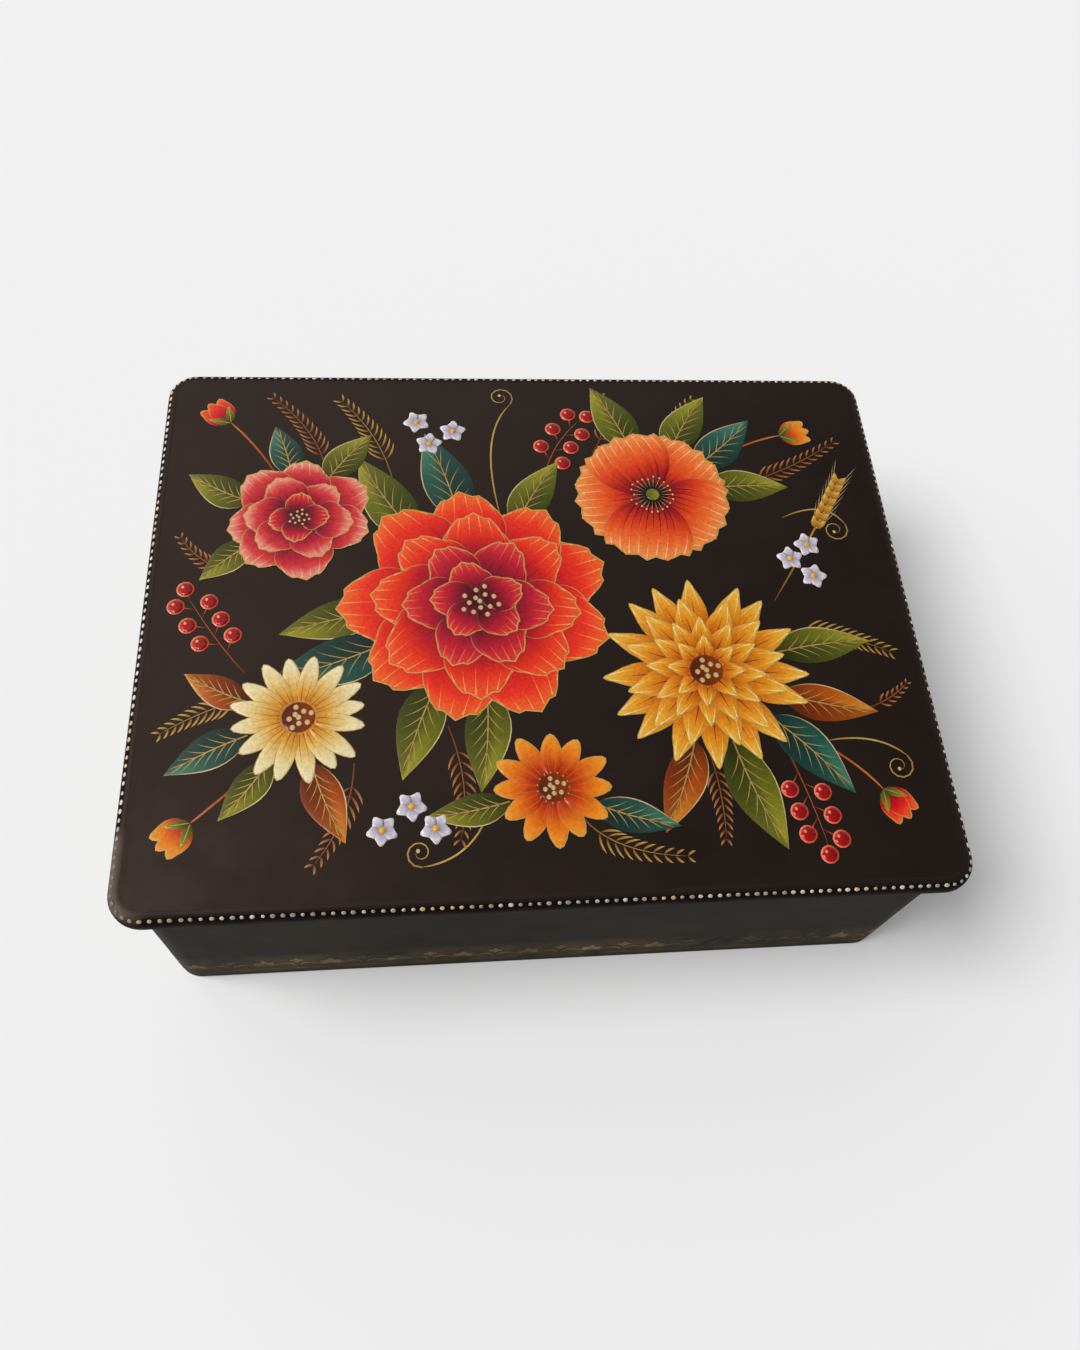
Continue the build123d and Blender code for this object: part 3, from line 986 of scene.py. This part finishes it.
def dotted_border():
    """The lid's border: a dark band round its edge, a row of pale gold dabs, and dulled lacquer above."""
    def ground_top(distance):
        return dot_row(distance) + DARK_MARGIN
    edge_band("lid_border_band", border_paint(), UNDERCOAT, lambda distance: BAND_FOOT, ground_top)
    edge_band(
        "lid_dulled_shoulder", dulled_lacquer(), SHOULDER_BLACK, ground_top, lambda distance: SHOULDER_TOP)

    dots = bmesh.new()
    paint = dots.verts.layers.float_color.new("paint")
    count = round(lid_round / DOT_PITCH)
    run, gilt = FIRST_RUN, True
    for i in range(count):
        if run == 0:
            gilt = not gilt
            run = chance.randint(*(GILT_RUN if gilt else CREAM_RUN))
        run -= 1
        distance = (i + DOT_STRAY * chance.uniform(-1, 1)) % count * lid_round / count
        spot = Vector((distance, dot_row(distance)))
        centre = on_edge(spot, BORDER_HEIGHT)
        out = on_edge(spot, BORDER_HEIGHT + 1) - centre
        turn = out.to_track_quat("Z", "Y").to_matrix().to_4x4()
        size = DOT_RADIUS * chance.uniform(*DOT_SIZES) * (1 + LEFT_SIZE * max(-out.x, 0.0))
        shape = Matrix.Diagonal((size * chance.uniform(*DOT_STRETCH), size * DOT_NARROW, DOT_RISE, 1.0))
        matrix = Matrix.Scale(MM, 4) @ Matrix.Translation(centre) @ turn @ shape
        dab = bmesh.ops.create_uvsphere(dots, u_segments=8, v_segments=5, radius=1.0, matrix=matrix)
        # Painted light: the dabs along the left keep to the paler colours, as if lit by the lamp on the left
        left_light = LEFT_PAINTED_LIGHT * max(-out.x, 0.0)
        shade = blend(GILT if gilt else CREAM_WHITE, left_light + (1 - left_light) * chance.random())
        for vert in dab["verts"]:
            vert[paint] = shade
    new_piece("lid_border_dots", dots, dab_paint(), "lid")


RUBBED_GOLD = run_of("#8a7e66", "#bcae92", "#8a7e66")
FILM = run_of("#5a4d34", "#604f36", "#64553a", "#60523a", WALL_MIDDLE)


def wall_border():
    """A worn gold border low on the walls: fans of leaves with long curls, over a film of rubbed gold."""
    border = Brushwork(on_walls)
    count = round(walls_round / FAN_PITCH)
    pitch = walls_round / count
    tint = wash(RUBBED_GOLD)
    top = WALL_HEIGHT + MOTIF_LIFT
    for i in range(count):
        foot = Vector((i * pitch, FAN_FOOT))

        def film(along, across):
            return Vector(((i + along) * pitch, FILM_LOW + (FILM_HIGH - FILM_LOW) * (across + 1) / 2))
        border.fill(film, lambda along, across: blend(FILM, (across + 1) / 2), WALL_HEIGHT, 24, 6)
        for order, (lean, length) in enumerate(FAN_BLADES):
            blade = petal(foot, lean, length, BLADE_WIDTH, close=0.8, early=1.1, tip=0.3)
            border.fill(blade, tint, top + STEP * (order + 1), 5, 4)
        for side in (-1, 1):
            curl = curve(*(foot + Vector((side * away, up)) for away, up in CURL))
            border.stroke(curl, 0.7, RUBBED_GOLD, top, swell, 12)
        middle = foot + Vector((pitch / 2, DAB_RISE))
        for order in range(4):
            dab = petal(middle, 90 * order, DAB_LENGTH, DAB_WIDTH, close=0.8, early=0.9, tip=0.25)
            border.fill(dab, tint, top + STEP * order, 4, 2)
        line = curve((foot.x, LINE_UNDER), (foot.x + pitch, LINE_UNDER))
        border.stroke(line, 0.4, RUBBED_GOLD, top, steady, 24)
    border.finish("wall_gold_border", worn_gold(), "box")


def rounded_panel(half_x, half_y, radius, height):
    """A flat face with rounded corners, at a height over the table, facing up."""
    panel = bmesh.new()
    matrix = Matrix.Scale(MM, 4) @ Matrix.Translation((0, 0, height))
    matrix = matrix @ Matrix.Diagonal((half_x, half_y, 1, 1))
    corners = bmesh.ops.create_grid(panel, x_segments=1, y_segments=1, size=1.0, matrix=matrix)["verts"]
    bmesh.ops.bevel(panel, geom=corners, offset=radius * MM, offset_type="OFFSET", affect="VERTICES",
                    segments=6, profile=0.5, material=-1)
    return panel


def red_inside(red):
    """The red lacquer inside: on the box's floor, on its walls up to their eased edge, and under the lid."""
    floor = walls_low.z + RED_HEIGHT
    tray = rounded_panel(walls_high.x - WALL - RED_HEIGHT, walls_high.y - WALL - RED_HEIGHT,
                         INNER_CORNER_RADIUS - RED_HEIGHT, floor)
    foot = list(tray.edges)
    raised = bmesh.ops.extrude_edge_only(tray, edges=foot)["geom"]
    rim = [part for part in raised if isinstance(part, bmesh.types.BMVert)]
    bmesh.ops.translate(tray, verts=rim, vec=(0, 0, (seat - WALL_EASING - RED_HEIGHT - floor) * MM))
    bmesh.ops.bevel(tray, geom=foot, offset=RED_COVE * MM, offset_type="OFFSET", affect="EDGES",
                    segments=4, profile=0.5, material=-1)
    bmesh.ops.recalc_face_normals(tray, faces=tray.faces)
    widest = max(tray.faces, key=lambda face: face.calc_area())
    if widest.normal.z < 0:
        bmesh.ops.reverse_faces(tray, faces=tray.faces)
    new_piece("box_red_lacquer", tray, red, "box")

    panel = rounded_panel(rim_high.x - RIM, rim_high.y - RIM, RIM_CORNER_RADIUS, seat - RED_HEIGHT)
    bmesh.ops.reverse_faces(panel, faces=panel.faces)
    new_piece("lid_red_lacquer", panel, red, "lid")


def dress():
    """Lays the red lacquer inside, and puts the finishes on the CAD nodes."""
    walls = black_lacquer("wall_lacquer", WALL_BLACK, WALL_CLOUD, (0.4, 0.5), WALL_GLOSS)
    red = red_lacquer()
    red_inside(red)
    finishes = {
        "lacquered_walls": walls,
        "lacquered_base": walls,
        "lacquered_lid": black_lacquer("lid_lacquer", "#191310", "#201813", (0.2, 0.34), LID_GLOSS),
        "lacquered_rim": red,
        "hinge_brass": aged_brass(),
        "pin_steel": drawn_steel(),
    }
    finishes["brad_brass"] = finishes["hinge_brass"]
    for row in frame["record"]["subparts"]:
        node = frame["nodes"][row["node"]]
        node.data.materials.clear()
        node.data.materials.append(finishes[row["material_slot"]])


def seen_share(tree):
    """1 where a surface is seen, straight, in a mirror or through glass, and 0 where it only gives light."""
    path = add(tree, "LightPath").outputs
    share = maths(tree, "ADD", path["Is Camera Ray"], path["Is Glossy Ray"])
    return maths(tree, "ADD", share, path["Is Transmission Ray"])


def studio():
    """A pale paper floor, a broad soft lamp high on the left, and a dim room with its light side at the back
    left. Together they light the floor so that a colour looks as it is written. Past the floor the room looks
    as pale."""
    paper, tree, _ = new_material("studio_paper")
    share = maths(tree, "MULTIPLY", seen_share(tree), FLOOR_GLOW)
    matt = add(tree, "BsdfDiffuse", {"Color": PALE})
    glow = add(tree, "Emission", {"Color": PALE})
    add(tree, "OutputMaterial", {"Surface": add(tree, "MixShader", {0: share, 1: matt, 2: glow})})
    mesh = bmesh.new()
    bmesh.ops.create_grid(mesh, x_segments=1, y_segments=1, size=FLOOR_HALF)
    ground = mesh_object("studio_floor", mesh, paper)

    world = bpy.data.worlds.new("studio")
    bpy.context.scene.world = world
    world.use_nodes = True
    tree = world.node_tree
    tree.nodes.clear()
    way = add(tree, "TexCoord").outputs["Generated"]
    facing = add(tree, "VectorMath", {0: way, 1: ROOM_LIGHT_FROM}, operation="DOT_PRODUCT").outputs["Value"]
    level = ramp(tree, facing, (0.0, 1.0), ROOM_LEVELS)
    rise = add(tree, "SeparateXYZ", {0: way}).outputs[2]
    low = ramp(tree, rise, SKYLINE, (1.0, 0.0))
    pale = maths(tree, "MULTIPLY", seen_share(tree), low)
    strength = add(tree, "Mix", {0: pale, 2: level, 3: PALE[0]})
    room = add(tree, "Background", {"Color": colour("#ffffff"), "Strength": strength})
    add(tree, "OutputWorld", {"Surface": room})

    lamp = bpy.data.lights.new("soft_lamp", "SUN")
    lamp.angle = radians(LAMP_ANGLE)
    lamp.energy = LAMP_LEVEL * pi / LAMP_FROM.normalized().z
    key = new_object("soft_lamp", lamp)
    key.location = LAMP_FROM
    key.rotation_euler = (-LAMP_FROM).to_track_quat("-Z", "Y").to_euler()


def camera():
    """The camera at the photograph's place."""
    scene = bpy.context.scene
    lens = bpy.data.cameras.new("camera")
    lens.lens = FOCAL
    lens.sensor_width = LONG_SIDE
    lens.shift_x, lens.shift_y = SHIFT
    lens.clip_start = 0.01
    eye = new_object("camera", lens)
    eye.location = EYE * MM
    look = (AIM - EYE).to_track_quat("-Z", "Y") @ Quaternion((0, 0, 1), radians(ROLL))
    eye.rotation_euler = look.to_euler()
    scene.camera = eye
    scene.view_settings.view_transform = "Standard"


dress()
dotted_border()
wall_border()
bouquet()
studio()
camera()
